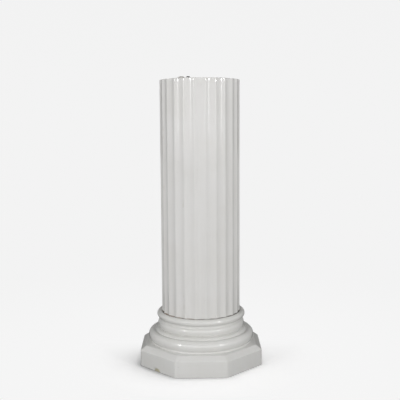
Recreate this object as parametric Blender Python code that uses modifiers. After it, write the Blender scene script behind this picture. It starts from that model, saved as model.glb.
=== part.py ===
"""A fluted pedestal column of glazed ceramic, in two hollow castings.

A shaft with 24 shallow flutes and a closed flat top stands in the socket of a moulded
base: bead, cove, roll, step and torus over an octagonal plinth. Metres, +Z up, origin
on the ground in the middle of the plinth. One flat side of the plinth and one flute
face -Y, the front.
"""

import math

import bmesh
import bpy
from mathutils import Matrix, Vector

COLLECTION_NAME = "pedestal_column"
CUTTER_COLLECTION_NAME = "pedestal_column_cutters"

# The whole column
OVERALL_HEIGHT = 0.800

# Shaft
SHAFT_RADIUS = 0.1123
SHAFT_WALL = 0.014
TOP_SLAB = 0.014
TOP_ARRIS_RADIUS = 0.002
FOOT_CHAMFER = 0.0015
FLUTE_COUNT = 24
FLUTE_DEPTH = 0.0033
FILLET_WIDTH = 0.0045
PLAIN_BAND_HEIGHT = 0.019

# Socket in the base that holds the foot of the shaft, with a ledge to carry it
SOCKET_CLEARANCE = 0.0015
SOCKET_DEPTH = 0.015
SEAT_GAP = 0.0003
LEDGE_LIP = 0.0095
BASE_WALL = 0.0145

# Turned mouldings of the base from the top down: how far each one stands out past the
# shaft, and its height along Z
BEAD_PROJECTION = 0.0143
BEAD_HEIGHT = 0.0184
COVE_PROJECTION = 0.0056
COVE_HEIGHT = 0.0070
ROLL_PROJECTION = 0.0118
ROLL_HEIGHT = 0.0230
STEP_PROJECTION = 0.0178
STEP_HEIGHT = 0.0073
STEP_CREASE_DEPTH = 0.0015
TORUS_PROJECTION = 0.0389
TORUS_HEIGHT = 0.0305
TORUS_BULGE = 0.0139
NECK_PROJECTION = 0.0330
NECK_HEIGHT = 0.0030

# Octagonal plinth: how far its flat sides stand out past the torus, and its heights
PLINTH_SIDES = 8
PLINTH_PROJECTION = 0.0195
PLINTH_FACE_HEIGHT = 0.0450
PLINTH_CHAMFER_RISE = 0.0116
PLINTH_CHAMFER_INSET = 0.0156
PLINTH_ARRIS_WIDTH = 0.0050

# Chip at the lower edge of the plinth; its angle runs from the front, positive to +X
CHIP_ANGLE = math.radians(-47.3)
CHIP_WIDTH = 0.024
CHIP_HEIGHT = 0.009
CHIP_DEPTH = 0.003

# Fineness of the round surfaces
TURNING_STEPS = 64
CAVITY_STEPS = 32
FLUTE_ROD_STEPS = 52
ARRIS_STEPS = 2

# How far a cutter runs past the surface that it opens
CUTTER_OVERRUN = 0.010
MERGE_DISTANCE = 0.00001
SHARP_ANGLE = math.radians(30.0)

GLAZE_COLOUR = (0.66, 0.66, 0.63, 1.0)
GLAZE_ROUGHNESS = 0.12

# Radii and levels that follow from the sizes above
BEAD_REACH = SHAFT_RADIUS + BEAD_PROJECTION
COVE_REACH = SHAFT_RADIUS + COVE_PROJECTION
ROLL_REACH = SHAFT_RADIUS + ROLL_PROJECTION
STEP_REACH = SHAFT_RADIUS + STEP_PROJECTION
TORUS_REACH = SHAFT_RADIUS + TORUS_PROJECTION
NECK_REACH = SHAFT_RADIUS + NECK_PROJECTION
PLINTH_APOTHEM = TORUS_REACH + PLINTH_PROJECTION
PLINTH_HEIGHT = PLINTH_FACE_HEIGHT + PLINTH_CHAMFER_RISE
TORUS_BASE = PLINTH_HEIGHT + NECK_HEIGHT
STEP_BASE = TORUS_BASE + TORUS_HEIGHT - STEP_CREASE_DEPTH
ROLL_BASE = STEP_BASE + STEP_HEIGHT
COVE_BASE = ROLL_BASE + ROLL_HEIGHT
BEAD_BASE = COVE_BASE + COVE_HEIGHT
BASE_HEIGHT = BEAD_BASE + BEAD_HEIGHT
SEAT_LEVEL = BASE_HEIGHT - SOCKET_DEPTH
SOCKET_RADIUS = SHAFT_RADIUS + SOCKET_CLEARANCE
SHAFT_BORE = SHAFT_RADIUS - SHAFT_WALL
SEAT_HOLE_RADIUS = SHAFT_BORE - LEDGE_LIP
SHAFT_FOOT_LEVEL = SEAT_LEVEL + SEAT_GAP
FLUTE_END_LEVEL = BASE_HEIGHT + PLAIN_BAND_HEIGHT

# A flute is cut by a round rod that meets the shaft's surface at both edges of the flute. Its radius
# follows from the flute's half chord and from how far the rod dips below that chord. The rod's end
# is a ball, which comes out of the surface this far below its centre.
FLUTE_HALF_ANGLE = (math.tau / FLUTE_COUNT - FILLET_WIDTH / SHAFT_RADIUS) / 2
FLUTE_HALF_CHORD = SHAFT_RADIUS * math.sin(FLUTE_HALF_ANGLE)
FLUTE_CHORD_DIP = FLUTE_DEPTH - SHAFT_RADIUS * (1 - math.cos(FLUTE_HALF_ANGLE))
FLUTE_ROD_RADIUS = (FLUTE_HALF_CHORD ** 2 + FLUTE_CHORD_DIP ** 2) / (2 * FLUTE_CHORD_DIP)
FLUTE_END_DROP = math.sqrt(FLUTE_DEPTH * (2 * FLUTE_ROD_RADIUS - FLUTE_DEPTH))


def clear_scene():
    """Take every object out of the open file."""
    for item in list(bpy.data.objects):
        bpy.data.objects.remove(item, do_unlink=True)


def make_collection(name):
    """Make a collection in the scene and return it."""
    collection = bpy.data.collections.new(name)
    bpy.context.scene.collection.children.link(collection)
    return collection


def glazed_material(name):
    """Glossy off-white glaze."""
    material = bpy.data.materials.new(name)
    material.use_nodes = True
    shader = material.node_tree.nodes["Principled BSDF"]
    shader.inputs["Base Color"].default_value = GLAZE_COLOUR
    shader.inputs["Roughness"].default_value = GLAZE_ROUGHNESS
    shader.inputs["Metallic"].default_value = 0.0
    material.diffuse_color = GLAZE_COLOUR
    return material


def arc(centre, radii, start, end, steps):
    """Points (r, z) along an elliptical arc; the angles are in degrees from +r towards +z."""
    points = []
    for step in range(steps + 1):
        angle = math.radians(start + (end - start) * step / steps)
        points.append((centre[0] + radii[0] * math.cos(angle), centre[1] + radii[1] * math.sin(angle)))
    return points


def turned(name, profile, collection, steps):
    """Turn an (r, z) profile about the Z axis with a Screw modifier."""
    mesh = bpy.data.meshes.new(name)
    edges = [(index, index + 1) for index in range(len(profile) - 1)]
    mesh.from_pydata([(r, 0.0, z) for r, z in profile], edges, [])
    item = bpy.data.objects.new(name, mesh)
    collection.objects.link(item)
    screw = item.modifiers.new("turn", "SCREW")
    screw.axis = "Z"
    screw.angle = math.tau
    screw.steps = steps
    screw.render_steps = steps
    screw.use_merge_vertices = True
    screw.merge_threshold = MERGE_DISTANCE
    screw.use_smooth_shade = True
    return item


def mesh_object(name, shape, collection):
    """Put a bmesh into a new object and free it."""
    mesh = bpy.data.meshes.new(name)
    shape.to_mesh(mesh)
    shape.free()
    item = bpy.data.objects.new(name, mesh)
    collection.objects.link(item)
    return item


def as_cutter(item):
    """Mark an object that only cuts or joins others."""
    item.hide_render = True
    item.display_type = "WIRE"
    return item


def add_boolean(item, other, operation):
    """Join or cut an object with another one."""
    boolean = item.modifiers.new(other.name, "BOOLEAN")
    boolean.operation = operation
    boolean.solver = "EXACT"
    boolean.object = other


def finish_part(item):
    """Smooth shading with crisp edges, and the part's own glaze."""
    item.data.shade_smooth()
    item.data.set_sharp_from_angle(angle=SHARP_ANGLE)
    item.data.materials.append(glazed_material(item.name + "_glaze"))


def evaluated_mesh(item):
    """A copy of the object's mesh with its modifiers applied."""
    bpy.context.view_layer.update()
    evaluated = item.evaluated_get(bpy.context.evaluated_depsgraph_get())
    return bpy.data.meshes.new_from_object(evaluated)


def make_flute_cutters(collection):
    """Round-ended rods that cut the flutes, in two sets, so that neighbours don't touch."""
    top = OVERALL_HEIGHT + CUTTER_OVERRUN
    ball_level = FLUTE_END_LEVEL + FLUTE_END_DROP
    profile = [(0.0, top)]
    profile += [(FLUTE_ROD_RADIUS, top)]
    profile += arc((0.0, ball_level), (FLUTE_ROD_RADIUS, FLUTE_ROD_RADIUS), 0.0, -90.0, FLUTE_ROD_STEPS // 4)
    rod = turned("flute_rod", profile, collection, FLUTE_ROD_STEPS)
    rod_mesh = evaluated_mesh(rod)
    bpy.data.objects.remove(rod, do_unlink=True)
    offset = Matrix.Translation(Vector((0.0, -(SHAFT_RADIUS - FLUTE_DEPTH + FLUTE_ROD_RADIUS), 0.0)))
    cutter_sets = []
    for first in range(2):
        rods = bmesh.new()
        for index in range(first, FLUTE_COUNT, 2):
            placed = rod_mesh.copy()
            placed.transform(Matrix.Rotation(math.tau * index / FLUTE_COUNT, 4, "Z") @ offset)
            rods.from_mesh(placed)
            bpy.data.meshes.remove(placed)
        cutter_sets.append(as_cutter(mesh_object(f"flute_cutters_{first}", rods, collection)))
    return cutter_sets


def make_shaft(parts, cutters):
    """Hollow fluted shaft: plain foot, closed flat top, open underneath."""
    arris_centre = (SHAFT_RADIUS - TOP_ARRIS_RADIUS, OVERALL_HEIGHT - TOP_ARRIS_RADIUS)
    profile = [(0.0, OVERALL_HEIGHT)]
    profile += arc(arris_centre, (TOP_ARRIS_RADIUS, TOP_ARRIS_RADIUS), 90.0, 0.0, ARRIS_STEPS)
    profile += [
        (SHAFT_RADIUS, SHAFT_FOOT_LEVEL + FOOT_CHAMFER),
        (SHAFT_RADIUS - FOOT_CHAMFER, SHAFT_FOOT_LEVEL),
        (SHAFT_BORE, SHAFT_FOOT_LEVEL),
        (SHAFT_BORE, OVERALL_HEIGHT - TOP_SLAB),
        (0.0, OVERALL_HEIGHT - TOP_SLAB),
    ]
    shaft = turned("shaft", profile, parts, FLUTE_COUNT * 4)
    for cutter_set in make_flute_cutters(cutters):
        add_boolean(shaft, cutter_set, "DIFFERENCE")
    finish_part(shaft)


def moulding_profile():
    """Outer (r, z) profile of the turned mouldings, from the lip of the socket to the plinth."""
    bead_radius = BEAD_HEIGHT / 2
    bead_centre = (BEAD_REACH - bead_radius, BEAD_BASE + bead_radius)
    profile = arc(bead_centre, (bead_radius, bead_radius), 120.0, -60.0, 9)

    roll_centre = (COVE_REACH, ROLL_BASE + ROLL_HEIGHT / 2)
    roll_radii = (ROLL_REACH - COVE_REACH, ROLL_HEIGHT / 2)
    profile += [(COVE_REACH, BEAD_BASE)]
    profile += arc(roll_centre, roll_radii, 85.0, -85.0, 8)

    step_centre = (COVE_REACH, STEP_BASE)
    step_radii = (STEP_REACH - COVE_REACH, STEP_HEIGHT)
    profile += arc(step_centre, step_radii, 75.0, 0.0, 4)

    torus_centre = (TORUS_REACH - TORUS_BULGE, TORUS_BASE + TORUS_HEIGHT / 2)
    profile += arc(torus_centre, (TORUS_BULGE, TORUS_HEIGHT / 2), 88.0, -70.0, 10)
    profile += [(NECK_REACH, TORUS_BASE), (NECK_REACH, PLINTH_HEIGHT)]
    return profile


def octagonal_block(name, apothem, bottom, face_top, inset, rise, arris, collection):
    """Eight-sided block with rounded vertical arrises and a sloping chamfer round its top."""
    block = bmesh.new()
    height = face_top - bottom
    corner_radius = apothem / math.cos(math.pi / PLINTH_SIDES)
    bmesh.ops.create_cone(
        block, cap_ends=True, segments=PLINTH_SIDES, radius1=corner_radius, radius2=corner_radius,
        depth=height, matrix=Matrix.Translation(Vector((0.0, 0.0, bottom + height / 2))),
    )
    bmesh.ops.rotate(block, verts=block.verts, matrix=Matrix.Rotation(math.pi / PLINTH_SIDES, 3, "Z"))
    block.normal_update()
    top = [face for face in block.faces if face.normal.z > 0.9]
    bmesh.ops.inset_region(block, faces=top, thickness=inset, depth=rise, use_even_offset=True)
    arrises = [edge for edge in block.edges if abs(edge.verts[0].co.z - edge.verts[1].co.z) > rise / 2]
    bmesh.ops.bevel(block, geom=arrises, offset=arris, segments=ARRIS_STEPS, profile=0.5, affect="EDGES")
    return as_cutter(mesh_object(name, block, collection))


def make_plinth_blocks(cutters):
    """The plinth's outside, and the space inside it, one wall's thickness in from each surface."""
    outside = octagonal_block(
        "plinth_outside", PLINTH_APOTHEM, 0.0, PLINTH_FACE_HEIGHT,
        PLINTH_CHAMFER_INSET, PLINTH_CHAMFER_RISE, PLINTH_ARRIS_WIDTH, cutters,
    )
    # Moving two surfaces in by the wall moves the edge between them by the wall times the
    # tangent of half their angle.
    slope = math.atan2(PLINTH_CHAMFER_RISE, PLINTH_CHAMFER_INSET)
    lower_edge_drop = BASE_WALL * math.tan((math.pi / 2 - slope) / 2)
    upper_edge_shift = BASE_WALL * math.tan(slope / 2)
    inside = octagonal_block(
        "plinth_inside", PLINTH_APOTHEM - BASE_WALL, -CUTTER_OVERRUN, PLINTH_FACE_HEIGHT - lower_edge_drop,
        PLINTH_CHAMFER_INSET + upper_edge_shift - BASE_WALL, PLINTH_CHAMFER_RISE + lower_edge_drop - BASE_WALL,
        PLINTH_ARRIS_WIDTH, cutters,
    )
    return outside, inside


def make_chip_cutter(cutters):
    """Flattened ball that takes the chip out of the plinth's lower edge."""
    side = math.tau / PLINTH_SIDES
    side_middle = side * round(CHIP_ANGLE / side)
    along = PLINTH_APOTHEM * math.tan(CHIP_ANGLE - side_middle)
    ball = bmesh.new()
    bmesh.ops.create_uvsphere(ball, u_segments=10, v_segments=6, radius=1.0)
    bmesh.ops.scale(ball, verts=ball.verts, vec=(CHIP_WIDTH / 2, CHIP_DEPTH, CHIP_HEIGHT))
    bmesh.ops.translate(ball, verts=ball.verts, vec=(along, -PLINTH_APOTHEM, 0.0))
    bmesh.ops.rotate(ball, verts=ball.verts, matrix=Matrix.Rotation(side_middle, 3, "Z"))
    return as_cutter(mesh_object("chip_cutter", ball, cutters))


def make_base(parts, cutters):
    """Hollow base: mouldings and plinth in one casting, open at the ground and at the socket."""
    profile = [(0.0, BASE_HEIGHT)]
    profile += moulding_profile()
    profile += [(NECK_REACH, PLINTH_HEIGHT / 2), (0.0, PLINTH_HEIGHT / 2)]
    base = turned("base", profile, parts, TURNING_STEPS)

    socket_profile = [
        (0.0, BASE_HEIGHT + CUTTER_OVERRUN),
        (SOCKET_RADIUS, BASE_HEIGHT + CUTTER_OVERRUN),
        (SOCKET_RADIUS, SEAT_LEVEL),
        (0.0, SEAT_LEVEL),
    ]
    socket = as_cutter(turned("socket_cutter", socket_profile, cutters, TURNING_STEPS))

    inside_torus = TORUS_REACH - BASE_WALL
    inside_roll = ROLL_REACH - BASE_WALL
    cavity_profile = [
        (0.0, SEAT_LEVEL + CUTTER_OVERRUN),
        (SEAT_HOLE_RADIUS, SEAT_LEVEL + CUTTER_OVERRUN),
        (SEAT_HOLE_RADIUS, SEAT_LEVEL - BASE_WALL),
        (inside_roll, SEAT_LEVEL - BASE_WALL),
        (inside_roll, STEP_BASE),
        (inside_torus, TORUS_BASE + TORUS_HEIGHT / 2),
        (inside_torus, PLINTH_HEIGHT / 2),
        (0.0, PLINTH_HEIGHT / 2),
    ]
    cavity = as_cutter(turned("cavity_cutter", cavity_profile, cutters, CAVITY_STEPS))

    plinth_outside, plinth_inside = make_plinth_blocks(cutters)
    add_boolean(base, plinth_outside, "UNION")
    add_boolean(base, plinth_inside, "DIFFERENCE")
    add_boolean(base, cavity, "DIFFERENCE")
    add_boolean(base, socket, "DIFFERENCE")
    add_boolean(base, make_chip_cutter(cutters), "DIFFERENCE")
    finish_part(base)


def main():
    clear_scene()
    parts = make_collection(COLLECTION_NAME)
    cutters = make_collection(CUTTER_COLLECTION_NAME)
    make_shaft(parts, cutters)
    make_base(parts, cutters)


main()
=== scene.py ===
"""The looks of a fluted pedestal column of glossy off-white glazed ceramic.

Two fine pieces stand for the two castings: the fluted shaft, and the moulded base on its
octagonal plinth. Metres, +Z up, origin on the ground in the middle of the plinth, front -Y.
"""

import math

import bmesh
import bpy
from mathutils import Matrix, Vector, noise


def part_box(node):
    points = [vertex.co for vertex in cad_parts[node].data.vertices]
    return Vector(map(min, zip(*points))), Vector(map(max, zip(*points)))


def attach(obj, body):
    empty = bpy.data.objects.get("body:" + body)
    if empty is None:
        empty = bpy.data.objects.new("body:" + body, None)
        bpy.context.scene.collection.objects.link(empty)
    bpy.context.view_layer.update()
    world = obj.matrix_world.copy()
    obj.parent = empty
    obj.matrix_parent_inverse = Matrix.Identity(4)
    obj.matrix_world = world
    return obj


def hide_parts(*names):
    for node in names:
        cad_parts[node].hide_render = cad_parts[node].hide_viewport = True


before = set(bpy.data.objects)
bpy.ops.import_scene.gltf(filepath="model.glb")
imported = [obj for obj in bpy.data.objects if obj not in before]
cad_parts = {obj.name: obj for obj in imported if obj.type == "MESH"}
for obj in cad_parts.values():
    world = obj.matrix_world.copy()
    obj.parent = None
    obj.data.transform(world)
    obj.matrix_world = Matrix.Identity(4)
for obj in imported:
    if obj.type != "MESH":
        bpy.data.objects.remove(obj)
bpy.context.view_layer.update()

# The shaft: its outer measures come from the frame, and lengths are in metres
SHAFT_LOW, SHAFT_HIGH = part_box("shaft")
BASE_LOW, BASE_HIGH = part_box("base")
SHAFT_RADIUS = (SHAFT_HIGH.x - SHAFT_LOW.x) / 2
SHAFT_FOOT = SHAFT_LOW.z
SHAFT_TOP = SHAFT_HIGH.z
SHAFT_WALL = 0.014
TOP_SLAB = 0.014
TOP_ARRIS = 0.0022
FOOT_CHAMFER = 0.0015
FLUTE_COUNT = 24
FLUTE_DEPTH = 0.0033
FILLET_WIDTH = 0.0045
FLUTE_END_SINK = 0.010
FLUTE_EDGE_SOFTNESS, FLUTE_END_FADE, FLUTE_END_START = 0.0009, 0.011, 0.09
FLUTE_END_MARGIN, FLUTE_END_SOFTENING = 0.002, 2.0
SHAFT_WAVINESS, SHAFT_WAVE_SIZE, SHAFT_WAVE_STRETCH = 0.00016, 0.05, 0.35
BORE_ROUNDING, CEILING_ROUNDING, TOP_FLAT_INSET = 0.001, 0.004, 0.002

# The base: socket, mouldings (projection past the shaft, height) and plinth
BASE_TOP = BASE_HIGH.z
SOCKET_CLEARANCE = 0.0008
SOCKET_DEPTH = 0.015
LEDGE_LIP = 0.0095
BASE_WALL = 0.0145
BEAD_PROJECTION, BEAD_HEIGHT = 0.0143, 0.0184
COVE_PROJECTION, COVE_HEIGHT = 0.0056, 0.0070
ROLL_PROJECTION, ROLL_HEIGHT = 0.0118, 0.0230
STEP_PROJECTION, STEP_HEIGHT = 0.0178, 0.0073
STEP_CREASE_DEPTH = 0.0015
TORUS_PROJECTION, TORUS_HEIGHT = 0.0389, 0.0305
TORUS_BULGE = 0.0139
NECK_PROJECTION, NECK_HEIGHT = 0.0330, 0.0030
PLINTH_SIDES = 8
PLINTH_APOTHEM = (BASE_HIGH.x - BASE_LOW.x) / 2
PLINTH_FACE_HEIGHT = 0.0450
CHAMFER_RISE, CHAMFER_INSET = 0.0116, 0.0156
CORNER_RADIUS = 0.0110
EDGE_RADIUS = 0.0028
FOOT_EDGE_RADIUS = 0.0012
BASE_WAVINESS, BASE_WAVE_SIZE, BASE_WAVE_STRETCH = 0.00022, 0.06, 0.5
SOCKET_CHAMFER, PLINTH_TOP_FLAT, PLINTH_TOP_FALL = 0.001, 0.0015, 0.0003
INSIDE_CHAMFER_DROP, INSIDE_CHAMFER_INSET = 0.0073, 0.0059
PROFILE_SPACING, GLAZE_FILL = 0.0008, 0.0013

# Arcs of the mouldings: start and end angle in degrees from outward towards up, steps
BEAD_ARC, ROLL_ARC, STEP_ARC = (120.0, -60.0, 26), (85.0, -85.0, 24), (75.0, 0.0, 14)
TORUS_START, TORUS_STEPS = 88.0, 32

# How finely the meshes are divided
SHARP_ANGLE = math.radians(50.0)
FLUTE_EDGE_SPREAD, FLUTE_EDGE_STEPS, GROOVE_STEPS = 0.028, 3, 8
FOOT_STEPS, FLUTE_END_STEPS, STRAIGHT_STEPS, ARRIS_STEPS = 8, 24, 64, 6
FLAT_STEPS, CHIP_FLAT_STEPS, CORNER_STEPS = 24, 72, 10
CEILING_RINGS, TOP_RINGS = (0.3, 0.65, 0.95), (1.0, 0.85, 0.6, 0.3)
UNDER_BEAD_STEPS, COVE_STEPS, NECK_STEPS = 3, 4, 4
CHAMFER_STEPS, SHOULDER_STEPS, FACE_STEPS, LOW_FACE_STEPS, FOOT_EDGE_STEPS = 6, 8, 14, 12, 4
LOW_FACE_LEVEL = 0.012

# The chip at the lower edge of the left front side of the plinth, and the stain round it
CHIP_ANGLE = math.radians(-47.3)
CHIP_WIDTH, CHIP_HEIGHT, CHIP_DEPTH = 0.024, 0.009, 0.003
CHIP_RAGGEDNESS, CHIP_GRAIN = 0.30, 0.004
CHIP_STAIN_SHIFT, CHIP_STAIN_WIDTH, CHIP_STAIN_HEIGHT = 0.005, 0.030, 0.011
CHIP_STAIN_FADE, CHIP_STAIN_RAGGEDNESS = (0.56, 0.47), 0.006

# Two lumps of old residue on the top near its edge: start and end angle in degrees, height
RESIDUE = ((-34.0, -21.8, 0.0034), (-20.2, -13.4, 0.0034))
RESIDUE_INSET, RESIDUE_WIDTH = 0.0072, 0.0065
RESIDUE_STEPS, RESIDUE_SIDES = 17, 12
RESIDUE_ROUGHNESS, RESIDUE_GRAIN, RESIDUE_SINK = 0.25, (40, 2, 900), 0.3

# Colours of the glaze (warm, cool, runs), of wear, of painted shade and dirt at the joint, and how
# glossy the glaze is
SHAFT_GLAZE = ((0.715, 0.706, 0.685, 1.0), (0.745, 0.738, 0.725, 1.0), (0.70, 0.696, 0.68, 1.0))
BASE_GLAZE = ((0.710, 0.705, 0.680, 1.0), (0.740, 0.737, 0.720, 1.0), (0.695, 0.69, 0.67, 1.0))
THIN_GLAZE = (0.60, 0.575, 0.52, 1.0)
SPECK_COLOUR = (0.46, 0.42, 0.35, 1.0)
# The first joint colour is the painted shade of the gap, the second is brown dirt
JOINT_SHADE_DARK, DIRT_BROWN = (0.06, 0.05, 0.04, 1.0), (0.24, 0.13, 0.06, 1.0)
RESIDUE_BLACK, RESIDUE_GREY = (0.03, 0.028, 0.026, 1.0), (0.30, 0.28, 0.255, 1.0)
CLAY_OLIVE, CLAY_OCHRE = (0.40, 0.39, 0.25, 1.0), (0.51, 0.47, 0.33, 1.0)
SHAFT_ROUGHNESS, BASE_ROUGHNESS = 0.10, 0.05
GLAZE_IOR, SHAFT_SHINE, BASE_SHINE = 1.5, 0.42, 0.5

# Clouds on the pieces: size in metres, detail, stretch along x, y and z, seed
EVENLY = (1.0, 1.0, 1.0)
TINT_CLOUD = (0.11, 3.0, EVENLY, 1.3)
RUN_CLOUD = (0.016, 2.0, (1.0, 1.0, 0.12), 4.1)
SPECK_CLOUD = (0.0035, 1.0, EVENLY, 7.7)
WEAR_CLOUD = (0.020, 3.0, EVENLY, 2.9)
GLOSS_CLOUD = (0.035, 3.0, EVENLY, 5.2)
RIPPLE_CLOUD = (0.018, 2.0, (1.0, 1.0, 0.6), 3.3)
PATCH_CLOUD = (0.022, 3.0, EVENLY, 8.4)
CHIP_EDGE_CLOUD = (0.005, 3.0, EVENLY, 6.1)
CLAY_CLOUD = (0.004, 3.0, EVENLY, 9.6)

# Where in its range a cloud, or the sharpness of an edge, starts to count and counts in full
TINT_RANGE, RUN_RANGE, SPECK_RANGE = (0.32, 0.70), (0.45, 0.80), (0.735, 0.79)
WEAR_RANGE, WORN_EDGE_RANGE = (0.40, 0.62), (0.53, 0.60)
GLOSS_RANGE, PATCH_RANGE, CLAY_RANGE = (0.35, 0.75), (0.30, 0.62), (0.35, 0.65)

# How strongly each of them shows
RUN_SHARE, SPECK_SHARE, WEAR_SHARE = 0.35, 0.35, 0.45
WEAR_DULLNESS, GLOSS_SPREAD = 0.30, 0.03
RIPPLE_STRENGTH, RIPPLE_HEIGHT = 0.10, 0.001

# The stains, and the painted shade of the gap at the joint, which is partly dirt: where they reach,
# how strongly they show and how dull they are
# Painted shade: a dark band just above the joint stands in for the shadow in the gap, browner dirt on
# the left
JOINT_SHADE_AND_DIRT, SHADE_AND_DIRT_LEFT_SPAN = 0.0005, (0.02, -0.07)
SHADE_AND_DIRT_LEAST_RIGHT, SHADE_AND_DIRT_LEAST_PATCH = 0.8, 0.45
SHADE_AND_DIRT_SHARE, SHADE_AND_DIRT_DULLNESS = 0.80, 0.5
RESIDUE_START, RESIDUE_GREY_SPAN, RESIDUE_DULLNESS = (0.0001, 0.0006), (-0.035, -0.045), 0.6
CLAY_SHARE, CLAY_DULLNESS = 0.9, 0.5

# The camera, as worked out from the outline of the column in the photograph; angles in radians
CAMERA_DISTANCE = 1.9412
CAMERA_HEIGHT = 0.6737
CAMERA_TILT = 0.1088
CAMERA_ROLL = -0.0063
FOCAL_PIXELS = 684.16
IMAGE_SIZE = 400
IMAGE_CENTRE_X = 200.238
SENSOR_WIDTH = 36.0
CAMERA_CLIP = (0.05, 60.0)

# The studio: brightness of the room that lights the column, by direction, and of what the camera sees
FRONT_LOW, FRONT_MIDDLE, FRONT_HIGH = 1.65, 2.40, 0.0
SIDE_LOW, SIDE_HIGH = 0.91, 0.30
BACK_HORIZON, BACK_LOW, BACK_HIGH = 0.0, 0.10, 0.55
ROOM_TOP = 0.56
FRONT_EDGE, BACK_EDGE = (-0.75, -0.25), (0.15, 0.65)
HORIZON_EDGE, MIDDLE_EDGE = (0.02, 0.10), (0.15, 0.35)
HIGH_EDGE, TOP_EDGE = (0.45, 0.65), (0.75, 0.95)
# The floor's glow that lights the column: dim near it, and darkest behind it as a painted shadow of
# the column
FLOOR_NEAR, FLOOR_BEHIND, FLOOR_FAR = 0.28, 0.0, 0.44
FLOOR_SPREAD, FLOOR_SPREAD_BEHIND, FLOOR_BEHIND_EDGE = (0.35, 1.00), (0.55, 1.15), (-0.25, 0.05)
BACKDROP_LOW, BACKDROP_HIGH, BACKDROP_RISE = 0.896, 0.888, (0.0, 0.3)

# The lamps: a soft key and a small glint on each side; azimuth in degrees from the front
LAMP_SIDES = (("left", -45.0), ("right", 45.0))
LAMP_DISTANCE, LAMP_AIM_HEIGHT = 3.5, 0.4
KEY_POWER, KEY_HEIGHT, KEY_WIDTH, KEY_TALL = 4.0, 0.82, 0.45, 0.45
GLINT_POWER, GLINT_HEIGHT, GLINT_WIDTH, GLINT_TALL = 20.0, 1.32, 0.55, 0.32

# The floor as the camera sees it: tones, reach of the painted shadows in metres, and their depth from
# the side away from the shade to the side in it
FLOOR_RADIUS, FLOOR_SIDES, FLOOR_GAP = 14.0, 96, 0.0002
FLOOR_PALE, FLOOR_LIFT = 1.47, 0.02
FLOOR_TONE, FLOOR_TONE_REACH = 0.922, (0.0, 1.4)
SHADE_SAMPLES = 16
SHADE_REACH, SHADE_SIDE, SHADE_DEPTH = 0.11, (-1.0, 0.0, 0.0), (0.0, 0.90)
CONTACT_REACH, CONTACT_DEPTH, CONTACT_SIDE = 0.022, 0.75, (0.35, 1.0)
FLOOR_FADE, FLOOR_FADE_BEHIND = (0.16, 0.36), (-0.10, 0.16)

# Levels and radii that follow
BEAD_REACH = SHAFT_RADIUS + BEAD_PROJECTION
COVE_REACH = SHAFT_RADIUS + COVE_PROJECTION
ROLL_REACH = SHAFT_RADIUS + ROLL_PROJECTION
STEP_REACH = SHAFT_RADIUS + STEP_PROJECTION
TORUS_REACH = SHAFT_RADIUS + TORUS_PROJECTION
NECK_REACH = SHAFT_RADIUS + NECK_PROJECTION
PLINTH_HEIGHT = PLINTH_FACE_HEIGHT + CHAMFER_RISE
TORUS_BASE = PLINTH_HEIGHT + NECK_HEIGHT
STEP_BASE = TORUS_BASE + TORUS_HEIGHT - STEP_CREASE_DEPTH
ROLL_BASE = STEP_BASE + STEP_HEIGHT
COVE_BASE = ROLL_BASE + ROLL_HEIGHT
BEAD_BASE = COVE_BASE + COVE_HEIGHT
SEAT_LEVEL = BASE_TOP - SOCKET_DEPTH
SOCKET_RADIUS = SHAFT_RADIUS + SOCKET_CLEARANCE
SHAFT_BORE = SHAFT_RADIUS - SHAFT_WALL
SEAT_HOLE_RADIUS = SHAFT_BORE - LEDGE_LIP
RESIDUE_RADIUS = SHAFT_RADIUS - RESIDUE_INSET
FLUTE_END_LEVEL = BASE_TOP - FLUTE_END_SINK
FLUTE_PITCH = math.tau / FLUTE_COUNT
FLUTE_HALF_ANGLE = (FLUTE_PITCH - FILLET_WIDTH / SHAFT_RADIUS) / 2
FLUTE_HALF_CHORD = SHAFT_RADIUS * math.sin(FLUTE_HALF_ANGLE)
FLUTE_CHORD_DIP = FLUTE_DEPTH - SHAFT_RADIUS * (1 - math.cos(FLUTE_HALF_ANGLE))
FLUTE_ROD_RADIUS = (FLUTE_HALF_CHORD ** 2 + FLUTE_CHORD_DIP ** 2) / (2 * FLUTE_CHORD_DIP)
FLUTE_AXIS_RADIUS = SHAFT_RADIUS - FLUTE_DEPTH + FLUTE_ROD_RADIUS
PLINTH_TURN = math.tau / PLINTH_SIDES
CHIP_SIDE = round(CHIP_ANGLE / PLINTH_TURN)
CHIP_FACING = PLINTH_TURN * CHIP_SIDE
CHIP_ALONG = PLINTH_APOTHEM * math.tan(CHIP_ANGLE - CHIP_FACING)
CHIP_STAIN_ALONG = CHIP_ALONG + CHIP_STAIN_SHIFT
CHIP_PLACE = (
    PLINTH_APOTHEM * math.sin(CHIP_FACING) + CHIP_STAIN_ALONG * math.cos(CHIP_FACING),
    -PLINTH_APOTHEM * math.cos(CHIP_FACING) + CHIP_STAIN_ALONG * math.sin(CHIP_FACING),
    0.0,
)


# Small tools for shapes

def arc(centre, radii, start, end, steps):
    """Points (r, z) along an elliptical arc; the angles are in degrees from +r towards +z."""
    points = []
    for step in range(steps + 1):
        angle = math.radians(start + (end - start) * step / steps)
        points.append((centre[0] + radii[0] * math.cos(angle), centre[1] + radii[1] * math.sin(angle)))
    return points


def line(start, end, steps):
    """Points between two points, both left out."""
    return [
        (start[0] + (end[0] - start[0]) * step / steps, start[1] + (end[1] - start[1]) * step / steps)
        for step in range(1, steps)
    ]


def smooth_min(a, b, softness):
    """The smaller of two lengths, rounded where they meet."""
    blend = max(softness - abs(a - b), 0.0) / softness
    return min(a, b) - blend * blend * softness / 4


def waviness(point, size, amount):
    """A slow, even unevenness of the cast surface, between -amount and +amount."""
    return amount * noise.noise(Vector(point) / size)


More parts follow.
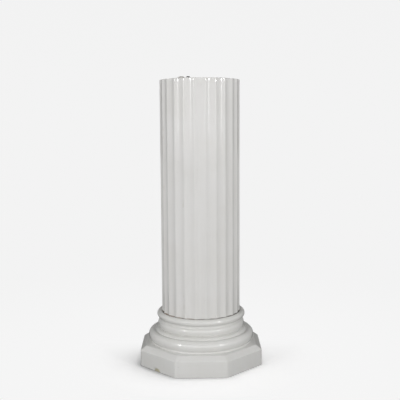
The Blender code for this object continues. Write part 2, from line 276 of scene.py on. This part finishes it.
def add_loops(shape, loops, ring=False):
    """Join loops of points in turn; a ring joins the last to the first, else fans close the ends."""
    rows = [[shape.verts.new(point) for point in loop] for loop in loops]
    count = len(rows[0])
    for lower, upper in zip(rows, rows[1:] + rows[:1] if ring else rows[1:]):
        for index in range(count):
            after = (index + 1) % count
            shape.faces.new((lower[index], lower[after], upper[after], upper[index]))
    if not ring:
        for row in (rows[0], rows[-1]):
            middle = shape.verts.new(sum((vert.co for vert in row), Vector()) / count)
            for index in range(count):
                shape.faces.new((row[index], row[(index + 1) % count], middle))


def finished(name, shape):
    """Turn a working mesh into a smooth-shaded object of the scene."""
    bmesh.ops.recalc_face_normals(shape, faces=shape.faces)
    mesh = bpy.data.meshes.new(name)
    shape.to_mesh(mesh)
    shape.free()
    mesh.shade_smooth()
    mesh.set_sharp_from_angle(angle=SHARP_ANGLE)
    piece = bpy.data.objects.new(name, mesh)
    bpy.context.scene.collection.objects.link(piece)
    return piece


# Shaft

def flute_angles():
    """Angles round the shaft, denser at the edges of the flutes."""
    edge = FLUTE_HALF_ANGLE / FLUTE_PITCH
    inner = edge - FLUTE_EDGE_SPREAD
    half_fillet = (0.5 - edge) / 2
    near_edge = [FLUTE_EDGE_SPREAD * step / FLUTE_EDGE_STEPS
                 for step in range(-FLUTE_EDGE_STEPS, FLUTE_EDGE_STEPS)]
    shares = [-0.5, -0.5 + half_fillet]
    shares += [-edge - offset for offset in reversed(near_edge)]
    shares += [-inner + 2 * inner * step / GROOVE_STEPS for step in range(1, GROOVE_STEPS)]
    shares += [edge + offset for offset in near_edge]
    shares += [0.5 - half_fillet]
    return [(flute + share) * FLUTE_PITCH for flute in range(FLUTE_COUNT) for share in shares]


def fluted_radius(angle, z):
    """How far the shaft's surface is from its axis, at an angle from the front and a height."""
    off_centre = (angle + FLUTE_PITCH / 2) % FLUTE_PITCH - FLUTE_PITCH / 2
    room = FLUTE_ROD_RADIUS ** 2 - (FLUTE_AXIS_RADIUS * math.sin(off_centre)) ** 2
    in_flute = FLUTE_AXIS_RADIUS * math.cos(off_centre) - math.sqrt(room)
    rise = min(max((z - FLUTE_END_LEVEL) / FLUTE_END_FADE + FLUTE_END_START, 0.0), 1.0)
    filled = 1.0 - rise * rise * (3.0 - 2.0 * rise)
    softness = FLUTE_EDGE_SOFTNESS * (1.0 + FLUTE_END_SOFTENING * filled)
    return smooth_min(SHAFT_RADIUS, in_flute + filled * (FLUTE_DEPTH + softness), softness)


def shaft_levels():
    """Heights of the loops up the outside of the shaft, denser at the ends of the flutes."""
    band_low = SHAFT_FOOT + FOOT_CHAMFER
    ends_low = FLUTE_END_LEVEL - FLUTE_END_MARGIN
    ends_high = FLUTE_END_LEVEL + FLUTE_END_FADE
    straight_high = SHAFT_TOP - TOP_ARRIS
    levels = []
    for low, high, steps in (
        (band_low, ends_low, FOOT_STEPS),
        (ends_low, ends_high, FLUTE_END_STEPS),
        (ends_high, straight_high, STRAIGHT_STEPS),
    ):
        levels += [low + (high - low) * step / steps for step in range(steps)]
    return levels + [straight_high]


def on_shaft(angle, inset, z):
    """A point of the shaft at an angle from the front, set in from the fluted surface."""
    flute_level = min(z, SHAFT_TOP - TOP_ARRIS)
    radius = fluted_radius(angle, flute_level) - inset
    outward = (math.sin(angle), -math.cos(angle))
    place = (radius * outward[0], radius * outward[1], z * SHAFT_WAVE_STRETCH)
    radius += waviness(place, SHAFT_WAVE_SIZE, SHAFT_WAVINESS) - SHAFT_WAVINESS
    return (radius * outward[0], radius * outward[1], z)


def round_loop(angles, radius, z):
    """A plain round loop."""
    return [(radius * math.sin(angle), -radius * math.cos(angle), z) for angle in angles]


def residue_loops(start, end, height):
    """Loops along a low crusty lump that sticks to the top near its edge."""
    along, across_it, by_height = RESIDUE_GRAIN
    loops = []
    for step in range(RESIDUE_STEPS):
        share = (step + 0.5) / RESIDUE_STEPS * 2 - 1
        swell = math.sqrt(1 - share * share)
        angle = (start + end) / 2 + share * (end - start) / 2
        loop = []
        for turn in range(RESIDUE_SIDES):
            around = math.tau * turn / RESIDUE_SIDES
            radius = RESIDUE_RADIUS + RESIDUE_WIDTH / 2 * swell * math.cos(around)
            grain = Vector((angle * along, math.cos(around) * across_it, height * by_height))
            rise = height * swell * (1 + RESIDUE_ROUGHNESS * noise.noise(grain))
            z = SHAFT_TOP + rise * max(math.sin(around), -RESIDUE_SINK)
            loop.append((radius * math.sin(angle), -radius * math.cos(angle), z))
        loops.append(loop)
    return loops


def make_shaft():
    """Hollow shaft with soft-edged flutes, closed flat top and open foot."""
    angles = flute_angles()
    ceiling = SHAFT_TOP - TOP_SLAB
    loops = [round_loop(angles, SHAFT_BORE * share, ceiling) for share in CEILING_RINGS]
    loops += [round_loop(angles, SHAFT_BORE, ceiling - CEILING_ROUNDING)]
    loops += [round_loop(angles, SHAFT_BORE, SHAFT_FOOT + BORE_ROUNDING)]
    loops += [round_loop(angles, SHAFT_BORE + BORE_ROUNDING, SHAFT_FOOT)]
    loops += [round_loop(angles, SHAFT_RADIUS - FOOT_CHAMFER, SHAFT_FOOT)]
    loops += [[on_shaft(angle, 0.0, z) for angle in angles] for z in shaft_levels()]
    for step in range(1, ARRIS_STEPS + 1):
        turn = math.pi / 2 * step / ARRIS_STEPS
        inset = TOP_ARRIS * (1 - math.cos(turn))
        z = SHAFT_TOP - TOP_ARRIS * (1 - math.sin(turn))
        loops += [[on_shaft(angle, inset, z) for angle in angles]]
    flat_radius = SHAFT_RADIUS - FLUTE_DEPTH - TOP_ARRIS - TOP_FLAT_INSET
    loops += [round_loop(angles, flat_radius * share, SHAFT_TOP) for share in TOP_RINGS]
    shape = bmesh.new()
    add_loops(shape, loops)
    for start, end, height in RESIDUE:
        add_loops(shape, residue_loops(math.radians(start), math.radians(end), height))
    return finished("shaft_fine", shape)


# Base

def plinth_columns():
    """Columns round the base: for each side of the plinth, steps along the flat and round the corner.

    Each column is (side, share along the flat from -1 to 1, share round the corner).
    """
    columns = []
    for side in range(PLINTH_SIDES):
        flat_steps = CHIP_FLAT_STEPS if side == CHIP_SIDE % PLINTH_SIDES else FLAT_STEPS
        columns += [(side, -1 + 2 * step / flat_steps, 0.0) for step in range(flat_steps)]
        columns += [(side, 1.0, step / CORNER_STEPS) for step in range(CORNER_STEPS)]
    return columns


def octagon_point(column, apothem, z):
    """A point of a round-cornered octagon, whose first side faces the front."""
    side, along, corner = column
    facing = PLINTH_TURN * side
    half_flat = (apothem - CORNER_RADIUS) * math.tan(PLINTH_TURN / 2)
    turn = corner * PLINTH_TURN
    x = half_flat * along + CORNER_RADIUS * math.sin(turn)
    y = -(apothem - CORNER_RADIUS) - CORNER_RADIUS * math.cos(turn)
    return (
        x * math.cos(facing) - y * math.sin(facing),
        x * math.sin(facing) + y * math.cos(facing),
        z,
    )


def column_angle(column):
    """The angle from the front of a column, for the round mouldings above it."""
    x, y, _ = octagon_point(column, PLINTH_APOTHEM, 0.0)
    return math.atan2(x, -y)


def softened(profile, spacing, softness):
    """A profile with its corners filled and rounded, as thick glaze does; both ends stay."""
    lengths = [0.0]
    for start, end in zip(profile, profile[1:]):
        lengths.append(lengths[-1] + math.dist(start, end))
    count = round(lengths[-1] / spacing)
    even = []
    span = 0
    for step in range(count + 1):
        place = lengths[-1] * step / count
        while span < len(profile) - 2 and lengths[span + 1] < place:
            span += 1
        share = (place - lengths[span]) / max(lengths[span + 1] - lengths[span], 1e-9)
        start, end = profile[span], profile[span + 1]
        even.append((start[0] + (end[0] - start[0]) * share, start[1] + (end[1] - start[1]) * share))
    reach = round(3 * softness / spacing)
    offsets = range(-reach, reach + 1)
    weights = [math.exp(-0.5 * (offset * spacing / softness) ** 2) for offset in offsets]
    soft = [even[0]]
    for index in range(1, count):
        near = [even[min(max(index + offset, 0), count)] for offset in offsets]
        soft.append(tuple(
            sum(weight * point[axis] for weight, point in zip(weights, near)) / sum(weights)
            for axis in (0, 1)
        ))
    return soft + [even[-1]]


def moulding_profile():
    """Outer (r, z) profile of the mouldings, from the lip of the socket down to the plinth."""
    bead_radius = BEAD_HEIGHT / 2
    bead_centre = (BEAD_REACH - bead_radius, BEAD_BASE + bead_radius)
    profile = arc(bead_centre, (bead_radius, bead_radius), *BEAD_ARC)
    profile += line(profile[-1], (COVE_REACH, BEAD_BASE), UNDER_BEAD_STEPS)

    roll_centre = (COVE_REACH, ROLL_BASE + ROLL_HEIGHT / 2)
    roll_radii = (ROLL_REACH - COVE_REACH, ROLL_HEIGHT / 2)
    profile += [(COVE_REACH, BEAD_BASE)]
    profile += line((COVE_REACH, BEAD_BASE), (COVE_REACH, COVE_BASE), COVE_STEPS)
    profile += arc(roll_centre, roll_radii, *ROLL_ARC)

    step_centre = (COVE_REACH, STEP_BASE)
    step_radii = (STEP_REACH - COVE_REACH, STEP_HEIGHT)
    profile += arc(step_centre, step_radii, *STEP_ARC)

    torus_centre = (TORUS_REACH - TORUS_BULGE, TORUS_BASE + TORUS_HEIGHT / 2)
    neck_turn = math.degrees(math.acos((NECK_REACH - torus_centre[0]) / TORUS_BULGE))
    torus_radii = (TORUS_BULGE, TORUS_HEIGHT / 2)
    profile += arc(torus_centre, torus_radii, TORUS_START, -neck_turn, TORUS_STEPS)
    profile = softened(profile, PROFILE_SPACING, GLAZE_FILL)
    profile += [(NECK_REACH, TORUS_BASE)]
    profile += line((NECK_REACH, TORUS_BASE), (NECK_REACH, PLINTH_HEIGHT), NECK_STEPS)
    return profile


def unevenly_cast(point):
    """A point on the outside of the base, as cast: slightly uneven, and broken away at the chip."""
    x, y, z = point
    reach = math.hypot(x, y)
    place = (x, y, z * BASE_WAVE_STRETCH)
    inward = waviness(place, BASE_WAVE_SIZE, BASE_WAVINESS) - BASE_WAVINESS
    x, y = x * (1 + inward / reach), y * (1 + inward / reach)
    turn = Matrix.Rotation(-CHIP_FACING, 3, "Z")
    along, outward, _ = turn @ Vector((x, y, z))
    rough = CHIP_RAGGEDNESS * noise.noise(Vector((along, 0.0, z)) / CHIP_GRAIN)
    spread = ((along - CHIP_ALONG) / (CHIP_WIDTH / 2)) ** 2 + (z / CHIP_HEIGHT) ** 2 + rough
    if spread < 1.0 and outward < 0.0:
        dent = CHIP_DEPTH * math.sqrt(1.0 - max(spread, 0.0))
        outward = max(outward, -PLINTH_APOTHEM + dent)
    x, y, _ = turn.transposed() @ Vector((along, outward, z))
    return (x, y, z)


def make_base():
    """The base in one casting: socket, mouldings, octagonal plinth and the hollow underneath."""
    columns = plinth_columns()
    angles = [column_angle(column) for column in columns]

    def rounds(profile):
        return [round_loop(angles, radius, z) for radius, z in profile]

    def uneven(loops):
        return [[unevenly_cast(point) for point in loop] for loop in loops]

    def octagons(profile):
        return [
            [octagon_point(column, apothem, z) for column in columns]
            for apothem, z in profile
        ]

    inside_torus = TORUS_REACH - BASE_WALL
    inside_roll = ROLL_REACH - BASE_WALL
    plinth_inside = PLINTH_APOTHEM - BASE_WALL
    ceiling = PLINTH_HEIGHT - BASE_WALL

    loops = rounds([
        (inside_torus, ceiling),
        (inside_torus, TORUS_BASE + TORUS_HEIGHT / 2),
        (inside_roll, STEP_BASE),
        (inside_roll, SEAT_LEVEL - BASE_WALL),
        (SEAT_HOLE_RADIUS, SEAT_LEVEL - BASE_WALL),
        (SEAT_HOLE_RADIUS, SEAT_LEVEL),
        (SOCKET_RADIUS, SEAT_LEVEL),
        (SOCKET_RADIUS, BASE_TOP - SOCKET_CHAMFER),
        (SOCKET_RADIUS + SOCKET_CHAMFER, BASE_TOP),
    ])
    loops += uneven(rounds(moulding_profile()))

    top_edge = PLINTH_APOTHEM - CHAMFER_INSET
    slope = math.atan2(CHAMFER_RISE, CHAMFER_INSET)
    profile = [(top_edge - PLINTH_TOP_FLAT, PLINTH_HEIGHT)]
    profile += [(top_edge, PLINTH_HEIGHT - PLINTH_TOP_FALL)]
    tangent = EDGE_RADIUS * math.tan((math.pi / 2 - slope) / 2)
    arris_centre = (PLINTH_APOTHEM - EDGE_RADIUS, PLINTH_FACE_HEIGHT - tangent)
    start = 90.0 - math.degrees(slope)
    shoulder = arc(arris_centre, (EDGE_RADIUS, EDGE_RADIUS), start, 0.0, SHOULDER_STEPS)
    profile += line(profile[-1], shoulder[0], CHAMFER_STEPS)
    profile += shoulder
    foot_centre = (PLINTH_APOTHEM - FOOT_EDGE_RADIUS, FOOT_EDGE_RADIUS)
    foot_radii = (FOOT_EDGE_RADIUS, FOOT_EDGE_RADIUS)
    foot = arc(foot_centre, foot_radii, 0.0, -90.0, FOOT_EDGE_STEPS)
    low_face = (PLINTH_APOTHEM, LOW_FACE_LEVEL)
    profile += line(shoulder[-1], low_face, FACE_STEPS)
    profile += [low_face]
    profile += line(low_face, foot[0], LOW_FACE_STEPS)
    profile += foot
    loops += uneven(octagons(profile))
    loops += octagons([
        (plinth_inside, 0.0),
        (plinth_inside, PLINTH_FACE_HEIGHT - INSIDE_CHAMFER_DROP),
        (plinth_inside - INSIDE_CHAMFER_INSET, ceiling),
    ])
    shape = bmesh.new()
    add_loops(shape, loops, ring=True)
    return finished("base_fine", shape)


# Materials

def node(tree, kind, **settings):
    """Add a shader node and set its properties."""
    made = tree.nodes.new(kind)
    for key, value in settings.items():
        setattr(made, key, value)
    return made


def link(tree, value, socket):
    """Set a socket to a number or a colour, or join an output to it."""
    if isinstance(value, bpy.types.NodeSocket):
        tree.links.new(value, socket)
    else:
        socket.default_value = value


def arithmetic(tree, operation, first, second):
    """One step of arithmetic on numbers or outputs, kept between 0 and 1."""
    step = node(tree, "ShaderNodeMath", operation=operation, use_clamp=True)
    link(tree, first, step.inputs[0])
    link(tree, second, step.inputs[1])
    return step.outputs["Value"]


def smooth_step(tree, source, low, high):
    """A number that rises smoothly from 0 at low to 1 at high; low may be the larger."""
    step = node(tree, "ShaderNodeMapRange", interpolation_type="SMOOTHSTEP", clamp=True)
    step.inputs["From Min"].default_value = low
    step.inputs["From Max"].default_value = high
    tree.links.new(source, step.inputs["Value"])
    return step.outputs["Result"]


def mixed_colours(tree, factor, first, second, blend="MIX"):
    """A colour between two others; each is a tuple or an output."""
    mix = node(tree, "ShaderNodeMix", data_type="RGBA", blend_type=blend)
    link(tree, factor, mix.inputs["Factor"])
    link(tree, first, mix.inputs["A"])
    link(tree, second, mix.inputs["B"])
    return mix.outputs["Result"]


def grey(level):
    """A neutral colour."""
    return (level, level, level, 1.0)


def cloud(tree, place, size, detail, stretch, seed):
    """Soft noise between 0 and 1 at places on a piece; size is in metres."""
    mapping = node(tree, "ShaderNodeMapping")
    mapping.inputs["Location"].default_value = (seed, seed * 0.7, -seed)
    mapping.inputs["Scale"].default_value = stretch
    tree.links.new(place, mapping.inputs["Vector"])
    texture = node(tree, "ShaderNodeTexNoise")
    texture.inputs["Scale"].default_value = 1.0 / size
    texture.inputs["Detail"].default_value = detail
    tree.links.new(mapping.outputs["Vector"], texture.inputs["Vector"])
    return texture.outputs["Fac"]


def glaze_material(name, roughness, shine, glaze, stains):
    """Glossy off-white glaze: cloudy colour, thin on the edges, with specks, light wear and stains.

    Each stain is a function that gives the share it covers, its colour and how dull it is.
    """
    material = bpy.data.materials.new(name)
    material.use_nodes = True
    tree = material.node_tree
    shader = tree.nodes["Principled BSDF"]
    shader.inputs["IOR"].default_value = GLAZE_IOR
    shader.inputs["Specular IOR Level"].default_value = shine
    place = node(tree, "ShaderNodeTexCoord").outputs["Object"]

    tint = smooth_step(tree, cloud(tree, place, *TINT_CLOUD), *TINT_RANGE)
    colour = mixed_colours(tree, tint, glaze[0], glaze[1])
    run = smooth_step(tree, cloud(tree, place, *RUN_CLOUD), *RUN_RANGE)
    colour = mixed_colours(tree, arithmetic(tree, "MULTIPLY", run, RUN_SHARE), colour, glaze[2])
    specks = smooth_step(tree, cloud(tree, place, *SPECK_CLOUD), *SPECK_RANGE)
    specks = arithmetic(tree, "MULTIPLY", specks, SPECK_SHARE)
    colour = mixed_colours(tree, specks, colour, SPECK_COLOUR)
    pointiness = node(tree, "ShaderNodeNewGeometry").outputs["Pointiness"]
    edges = smooth_step(tree, pointiness, *WORN_EDGE_RANGE)
    worn = smooth_step(tree, cloud(tree, place, *WEAR_CLOUD), *WEAR_RANGE)
    thin = arithmetic(tree, "MULTIPLY", arithmetic(tree, "MULTIPLY", edges, worn), WEAR_SHARE)
    colour = mixed_colours(tree, thin, colour, THIN_GLAZE)
    dullness = arithmetic(tree, "MULTIPLY", thin, WEAR_DULLNESS)
    for stain in stains:
        share, stain_colour, dull = stain(tree, place)
        colour = mixed_colours(tree, share, colour, stain_colour)
        dullness = arithmetic(tree, "ADD", dullness, arithmetic(tree, "MULTIPLY", share, dull))
    tree.links.new(colour, shader.inputs["Base Color"])

    uneven = smooth_step(tree, cloud(tree, place, *GLOSS_CLOUD), *GLOSS_RANGE)
    uneven = arithmetic(tree, "MULTIPLY", uneven, GLOSS_SPREAD)
    gloss = arithmetic(tree, "ADD", roughness, uneven)
    tree.links.new(arithmetic(tree, "ADD", gloss, dullness), shader.inputs["Roughness"])

    ripple = cloud(tree, place, *RIPPLE_CLOUD)
    bump = node(tree, "ShaderNodeBump")
    bump.inputs["Strength"].default_value = RIPPLE_STRENGTH
    bump.inputs["Distance"].default_value = RIPPLE_HEIGHT
    tree.links.new(ripple, bump.inputs["Height"])
    tree.links.new(bump.outputs["Normal"], shader.inputs["Normal"])
    return material


def coordinate(tree, place, axis):
    """One coordinate of a place."""
    parts = node(tree, "ShaderNodeSeparateXYZ")
    tree.links.new(place, parts.inputs["Vector"])
    return parts.outputs[axis]


def joint_shade_and_dirt(tree, place):
    """Painted shade of the gap round the foot of the shaft as a near-black band, with brown dirt and a
    wider band on the left.
    """
    leftward = smooth_step(tree, coordinate(tree, place, "X"), *SHADE_AND_DIRT_LEFT_SPAN)
    patch = smooth_step(tree, cloud(tree, place, *PATCH_CLOUD), *PATCH_RANGE)
    reach = arithmetic(tree, "ADD", leftward, SHADE_AND_DIRT_LEAST_RIGHT)
    reach = arithmetic(tree, "MULTIPLY", reach, JOINT_SHADE_AND_DIRT)
    reach = arithmetic(tree, "MULTIPLY", reach, arithmetic(tree, "ADD", patch, SHADE_AND_DIRT_LEAST_PATCH))
    height = arithmetic(tree, "SUBTRACT", coordinate(tree, place, "Z"), BASE_TOP)
    share = arithmetic(tree, "MULTIPLY", arithmetic(tree, "LESS_THAN", height, reach), SHADE_AND_DIRT_SHARE)
    brownness = arithmetic(tree, "MULTIPLY", leftward, patch)
    return share, mixed_colours(tree, brownness, JOINT_SHADE_DARK, DIRT_BROWN), SHADE_AND_DIRT_DULLNESS


def top_residue(tree, place):
    """Dark crust on the lumps that stand above the top, greyer on the left one."""
    low, high = RESIDUE_START
    above = smooth_step(tree, coordinate(tree, place, "Z"), SHAFT_TOP + low, SHAFT_TOP + high)
    left = smooth_step(tree, coordinate(tree, place, "X"), *RESIDUE_GREY_SPAN)
    return above, mixed_colours(tree, left, RESIDUE_BLACK, RESIDUE_GREY), RESIDUE_DULLNESS


def chip_clay(tree, place):
    """Bare clay with an olive stain where the glaze is chipped off the foot of the plinth."""
    offset = node(tree, "ShaderNodeVectorMath", operation="SUBTRACT")
    tree.links.new(place, offset.inputs[0])
    offset.inputs[1].default_value = CHIP_PLACE
    shape = node(tree, "ShaderNodeVectorMath", operation="MULTIPLY")
    tree.links.new(offset.outputs["Vector"], shape.inputs[0])
    shape.inputs[1].default_value = (1.0, 1.0, CHIP_STAIN_WIDTH / CHIP_STAIN_HEIGHT / 2)
    reach = node(tree, "ShaderNodeVectorMath", operation="LENGTH")
    tree.links.new(shape.outputs["Vector"], reach.inputs[0])
    ragged = cloud(tree, place, *CHIP_EDGE_CLOUD)
    ragged = arithmetic(tree, "MULTIPLY", ragged, CHIP_STAIN_RAGGEDNESS)
    distance = arithmetic(tree, "ADD", reach.outputs["Value"], ragged)
    outer, inner = (CHIP_STAIN_WIDTH * fade for fade in CHIP_STAIN_FADE)
    share = arithmetic(tree, "MULTIPLY", smooth_step(tree, distance, outer, inner), CLAY_SHARE)
    grain = smooth_step(tree, cloud(tree, place, *CLAY_CLOUD), *CLAY_RANGE)
    return share, mixed_colours(tree, grain, CLAY_OLIVE, CLAY_OCHRE), CLAY_DULLNESS


# Studio

def make_camera():
    """The photograph's view of the column."""
    data = bpy.data.cameras.new("camera")
    data.lens = FOCAL_PIXELS * SENSOR_WIDTH / IMAGE_SIZE
    data.sensor_width = SENSOR_WIDTH
    data.shift_x = -(IMAGE_CENTRE_X - IMAGE_SIZE / 2) / IMAGE_SIZE
    data.clip_start, data.clip_end = CAMERA_CLIP
    camera = bpy.data.objects.new("camera", data)
    bpy.context.scene.collection.objects.link(camera)
    tilt = Matrix.Rotation(math.pi / 2 - CAMERA_TILT, 4, "X")
    roll = Matrix.Rotation(CAMERA_ROLL, 4, "Z")
    place = Matrix.Translation((0.0, -CAMERA_DISTANCE, CAMERA_HEIGHT))
    camera.matrix_world = place @ tilt @ roll
    bpy.context.scene.camera = camera


def make_lamp(name, azimuth, height, width, tall, power, glint=False):
    """A rectangular light, aimed at the column; the azimuth runs from the front, positive to +X.

    A glint is only mirrored in the glaze: its share of the soft light is in the room already.
    """
    data = bpy.data.lights.new(name, "AREA")
    data.shape = "RECTANGLE"
    data.size = width
    data.size_y = tall
    data.energy = power
    light = bpy.data.objects.new(name, data)
    bpy.context.scene.collection.objects.link(light)
    turn = math.radians(azimuth)
    place = Vector((LAMP_DISTANCE * math.sin(turn), -LAMP_DISTANCE * math.cos(turn), height))
    aim = Vector((0.0, 0.0, LAMP_AIM_HEIGHT))
    light.location = place
    light.rotation_euler = (place - aim).to_track_quat("Z", "Y").to_euler()
    light.visible_camera = False
    light.visible_diffuse = not glint


def plain_glow(tree, colour):
    """A shader that glows evenly in a colour."""
    glow = node(tree, "ShaderNodeEmission")
    link(tree, colour, glow.inputs["Color"])
    return glow.outputs["Emission"]


def mixed_shaders(tree, factor, first, second):
    """A shader between two others."""
    mix = node(tree, "ShaderNodeMixShader")
    for value, socket in zip((factor, first, second), mix.inputs):
        tree.links.new(value, socket)
    return mix.outputs["Shader"]


def openness(tree, reach):
    """How open the floor is within a reach: 0 right against the column, 1 away from it."""
    shade = node(tree, "ShaderNodeAmbientOcclusion", samples=SHADE_SAMPLES)
    shade.inputs["Distance"].default_value = reach
    return shade.outputs["AO"]


def across(tree, lean, depths):
    """A number that goes from the first depth to the second as the lean goes from -1 to 1."""
    step = node(tree, "ShaderNodeMapRange", clamp=True)
    step.inputs["From Min"].default_value = -1.0
    step.inputs["To Min"].default_value = depths[0]
    step.inputs["To Max"].default_value = depths[1]
    tree.links.new(lean, step.inputs["Value"])
    return step.outputs["Result"]


def floor_paper(tree, place):
    """Pale paper under real light, with painted shadows in its colour: a soft one to one side and a
    narrow one where the plinth stands.
    """
    side = node(tree, "ShaderNodeVectorMath", operation="NORMALIZE")
    tree.links.new(place, side.inputs[0])
    product = node(tree, "ShaderNodeVectorMath", operation="DOT_PRODUCT")
    product.inputs[1].default_value = SHADE_SIDE
    tree.links.new(side.outputs["Vector"], product.inputs[0])
    lean = product.outputs["Value"]

    # Painted shadow: the paper's colour darkens where the column closes the floor in, more on the left
    shade = mixed_colours(tree, openness(tree, SHADE_REACH), grey(0.0), grey(FLOOR_PALE))
    colour = mixed_colours(tree, across(tree, lean, SHADE_DEPTH), grey(FLOOR_PALE), shade)
    contact = openness(tree, CONTACT_REACH)
    contact = mixed_colours(tree, contact, grey(1.0 - CONTACT_DEPTH), grey(1.0))
    colour = mixed_colours(tree, across(tree, lean, CONTACT_SIDE), colour, contact, "MULTIPLY")

    paper = node(tree, "ShaderNodeBsdfDiffuse")
    tree.links.new(colour, paper.inputs["Color"])
    lifted = node(tree, "ShaderNodeAddShader")
    tree.links.new(paper.outputs["BSDF"], lifted.inputs[0])
    tree.links.new(plain_glow(tree, grey(FLOOR_LIFT)), lifted.inputs[1])
    return lifted.outputs["Shader"]


def make_floor():
    """A plain pale floor that fades into the backdrop's tone far from the column.

    The camera sees the paper with its painted shadows; the column is lit by a plain glow of the same
    floor, dim close to the column, darkest behind it as a painted shadow of the column, and brighter
    farther out.
    """
    bpy.ops.mesh.primitive_circle_add(vertices=FLOOR_SIDES, radius=FLOOR_RADIUS,
                                      fill_type="TRIFAN", location=(0.0, 0.0, -FLOOR_GAP))
    floor = bpy.context.object
    floor.name = "floor"
    material = bpy.data.materials.new("floor_paper")
    material.use_nodes = True
    tree = material.node_tree
    tree.nodes.remove(tree.nodes["Principled BSDF"])
    place = node(tree, "ShaderNodeTexCoord").outputs["Object"]
    reach = node(tree, "ShaderNodeVectorMath", operation="LENGTH")
    tree.links.new(place, reach.inputs[0])
    distance = reach.outputs["Value"]
    backward = coordinate(tree, place, "Y")

    tone = smooth_step(tree, distance, *FLOOR_TONE_REACH)
    far = plain_glow(tree, mixed_colours(tree, tone, grey(FLOOR_TONE), grey(BACKDROP_LOW)))
    fade = smooth_step(tree, distance, *FLOOR_FADE)
    fade = arithmetic(tree, "MAXIMUM", fade, smooth_step(tree, backward, *FLOOR_FADE_BEHIND))
    in_view = mixed_shaders(tree, fade, floor_paper(tree, place), far)

    spread = smooth_step(tree, distance, *FLOOR_SPREAD)
    in_front = mixed_colours(tree, spread, grey(FLOOR_NEAR), grey(FLOOR_FAR))
    spread = smooth_step(tree, distance, *FLOOR_SPREAD_BEHIND)
    in_back = mixed_colours(tree, spread, grey(FLOOR_BEHIND), grey(FLOOR_FAR))
    behind = smooth_step(tree, backward, *FLOOR_BEHIND_EDGE)
    glow = plain_glow(tree, mixed_colours(tree, behind, in_front, in_back))
    seen = node(tree, "ShaderNodeLightPath").outputs["Is Camera Ray"]
    surface = mixed_shaders(tree, seen, glow, in_view)
    tree.links.new(surface, tree.nodes["Material Output"].inputs["Surface"])
    floor.data.materials.append(material)


def make_world():
    """Soft light from the front and from above, with a dimmer room behind the column.

    The column mirrors this room; the camera sees a plain pale backdrop.
    """
    world = bpy.data.worlds.new("studio")
    world.use_nodes = True
    tree = world.node_tree
    direction = node(tree, "ShaderNodeSeparateXYZ")
    generated = node(tree, "ShaderNodeTexCoord").outputs["Generated"]
    tree.links.new(generated, direction.inputs["Vector"])
    backward, upward = direction.outputs["Y"], direction.outputs["Z"]
    sideways = smooth_step(tree, backward, *FRONT_EDGE)
    behind = smooth_step(tree, backward, *BACK_EDGE)

    middle = smooth_step(tree, upward, *MIDDLE_EDGE)
    front = mixed_colours(tree, middle, grey(FRONT_LOW), grey(FRONT_MIDDLE))
    low = mixed_colours(tree, sideways, front, grey(SIDE_LOW))
    horizon = smooth_step(tree, upward, *HORIZON_EDGE)
    back = mixed_colours(tree, horizon, grey(BACK_HORIZON), grey(BACK_LOW))
    low = mixed_colours(tree, behind, low, back)
    high = mixed_colours(tree, sideways, grey(FRONT_HIGH), grey(SIDE_HIGH))
    high = mixed_colours(tree, behind, high, grey(BACK_HIGH))
    room = mixed_colours(tree, smooth_step(tree, upward, *HIGH_EDGE), low, high)
    room = mixed_colours(tree, smooth_step(tree, upward, *TOP_EDGE), room, grey(ROOM_TOP))

    rise = smooth_step(tree, upward, *BACKDROP_RISE)
    backdrop = mixed_colours(tree, rise, grey(BACKDROP_LOW), grey(BACKDROP_HIGH))
    seen = node(tree, "ShaderNodeLightPath").outputs["Is Camera Ray"]
    colour = mixed_colours(tree, seen, room, backdrop)
    tree.links.new(colour, tree.nodes["Background"].inputs["Color"])
    bpy.context.scene.world = world


make_camera()
make_world()
make_floor()
for side, azimuth in LAMP_SIDES:
    make_lamp("softbox_" + side, azimuth, KEY_HEIGHT, KEY_WIDTH, KEY_TALL, KEY_POWER)
    make_lamp("glint_" + side, azimuth, GLINT_HEIGHT, GLINT_WIDTH, GLINT_TALL, GLINT_POWER,
              glint=True)

shaft = make_shaft()
shaft.data.materials.append(glaze_material(
    "shaft_glaze_fine", SHAFT_ROUGHNESS, SHAFT_SHINE, SHAFT_GLAZE, [joint_shade_and_dirt, top_residue]))
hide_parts("shaft")
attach(shaft, "root")

base = make_base()
base.data.materials.append(glaze_material(
    "base_glaze_fine", BASE_ROUGHNESS, BASE_SHINE, BASE_GLAZE, [chip_clay]))
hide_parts("base")
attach(base, "root")

bpy.context.scene.view_settings.view_transform = "Standard"
